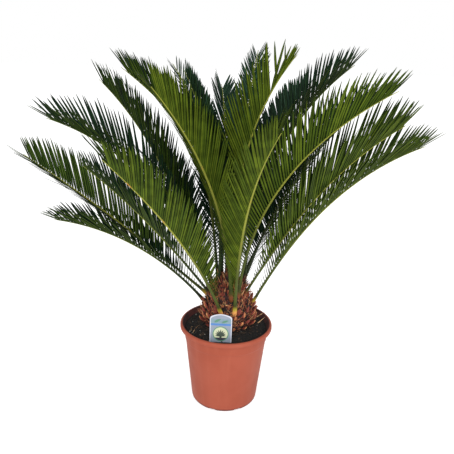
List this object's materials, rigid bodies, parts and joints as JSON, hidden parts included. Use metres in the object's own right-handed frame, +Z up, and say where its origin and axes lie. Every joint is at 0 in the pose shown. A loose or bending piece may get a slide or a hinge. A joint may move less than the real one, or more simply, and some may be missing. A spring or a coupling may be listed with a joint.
{
  "type": "potted sago palm plant",
  "caption": "Potted sago palm: woolly trunk with old leaf bases and a round crown of arching feather fronds, in a plain tapered nursery pot.",
  "frame": {"origin": "middle of the pot's flat underside, on the surface that the plant stands on", "axes": "+Z up along the pot's axis, -Y towards the side that the plant tag faces, +X to that viewer's right"},
  "size_m": [0.8173, 0.8021, 0.7322],
  "materials": {
    "pot": "satin",
    "soil": "matte",
    "tag": "satin",
    "trunk": "matte",
    "frond": "satin"
  },
  "bodies": {
    "root": {"pot": "pot", "soil": "soil", "tag": "tag", "trunk": "trunk", "frond_left_low": "frond", "frond_left_main": "frond", "frond_left_high": "frond", "frond_left_between": "frond", "frond_left_front": "frond", "frond_left_back": "frond", "frond_left_up": "frond", "frond_left_up_front": "frond", "frond_left_up_back": "frond", "frond_front": "frond", "frond_right_front": "frond", "frond_right_low": "frond", "frond_right_mid": "frond", "frond_right_up": "frond", "frond_right_back": "frond", "frond_right_up_back": "frond", "frond_top_left": "frond", "frond_top_left_front": "frond", "frond_top_right": "frond", "frond_top_back": "frond", "frond_back_upright": "frond", "frond_back_right": "frond", "frond_back_middle": "frond", "frond_back_left": "frond"}
  },
  "joints": []
}
